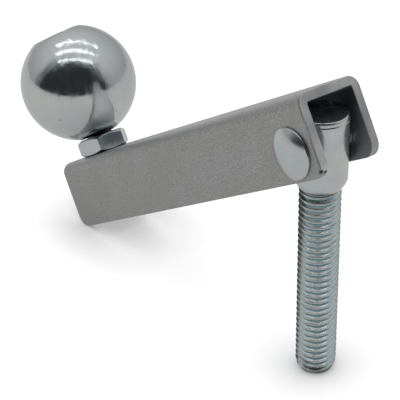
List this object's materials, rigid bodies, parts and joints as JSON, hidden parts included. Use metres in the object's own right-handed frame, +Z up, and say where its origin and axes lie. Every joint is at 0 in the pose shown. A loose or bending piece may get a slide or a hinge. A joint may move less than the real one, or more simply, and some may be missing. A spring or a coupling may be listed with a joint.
{
  "type": "folding clamp lever with ball grip",
  "caption": "Pressed channel lever with a plated ball grip and a threaded stud that swings on a rivet at its other end, for clamping or latching on trailer and truck gear.",
  "frame": {"origin": "centre of the stud's flat tip", "axes": "+Z up along the swing stud as it stands; the lever lies in the XZ plane with its ball end towards -X, low, and its open pivot end towards +X; the rivet's domed head faces -Y"},
  "size_m": [0.1626, 0.0416, 0.0988],
  "materials": {
    "arm_steel": "tumbled grey steel, satin, with a fine speckled grain",
    "ball_plate": "bright plated, mirror polished, a few fine pits",
    "zinc_plate": "bright zinc plate, semi-gloss",
    "stud_zinc": "blue-tinted zinc plate, semi-gloss, dark residue in the thread",
    "bolt_zinc": "dull zinc plate"
  },
  "bodies": {
    "lever": {"channel_arm": "arm_steel", "pivot_rivet": "zinc_plate", "rivet_washer": "zinc_plate", "ball_knob": "ball_plate", "jam_nut": "zinc_plate", "ball_bolt": "bolt_zinc"},
    "stud": {"swing_stud": "stud_zinc"}
  },
  "joints": [
    {"name": "stud_pivot", "type": "hinge", "parent": "lever", "child": "stud", "pos_m": [0, 0, 0.08], "axis": [0, 1, 0], "range_deg": [-147, 62.5]}
  ]
}
